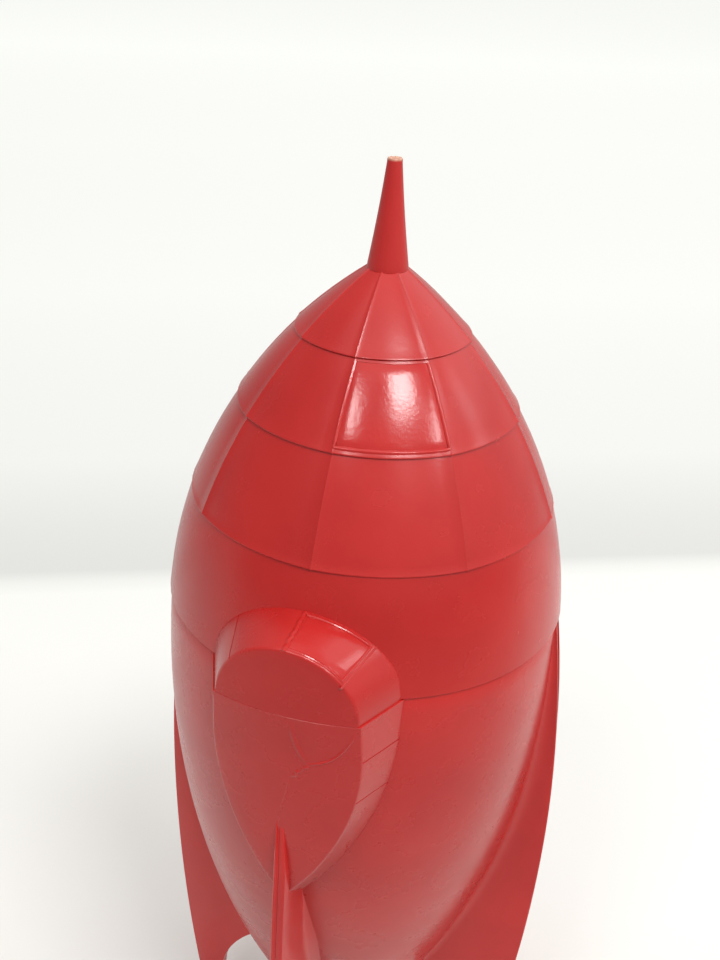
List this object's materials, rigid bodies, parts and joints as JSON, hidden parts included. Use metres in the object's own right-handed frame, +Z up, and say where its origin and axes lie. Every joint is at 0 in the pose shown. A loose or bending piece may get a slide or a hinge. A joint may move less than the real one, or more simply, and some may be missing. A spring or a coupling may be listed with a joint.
{
  "type": "toy rocket",
  "caption": "Hollow moulded toy rocket that stands on four blade fins, with a lift-off planked nose, a tapered spire, a bevelled bay with a recessed pane, and a tail stopper.",
  "frame": {"origin": "on the rocket's axis, level with the underside of its four feet", "axes": "+Z up the rocket's axis to the spire; the bay faces -Y, and the side fins lie along +X and -X"},
  "size_m": [0.0758, 0.0786, 0.1972],
  "materials": {
    "shell_red": "satin moulded red plastic with fine pits",
    "pane_red": "polished red plastic",
    "fin_red": "satin moulded red plastic",
    "washer_steel": "zinc-plated spring steel",
    "plug_white": "natural soft polyethylene"
  },
  "bodies": {
    "hull": {"hull_shell": "shell_red", "hull_collar": "shell_red", "pod_fairing": "shell_red", "fin_front": "fin_red", "fin_right": "fin_red", "fin_rear": "fin_red", "fin_left": "fin_red", "tail_nozzle": "shell_red"},
    "nose": {"nose_shell": "shell_red", "nose_window": "pane_red", "spire": "shell_red", "spire_washer": "washer_steel", "pod_hood": "shell_red", "hood_window": "pane_red"},
    "plug": {"tail_plug": "plug_white"}
  },
  "joints": [
    {"name": "nose_lift", "type": "slide", "parent": "hull", "child": "nose", "axis": [0, 0, 1], "range_m": [0, 0.06]},
    {"name": "plug_pull", "type": "slide", "parent": "hull", "child": "plug", "axis": [0, 0, -1], "range_m": [0, 0.014]}
  ]
}
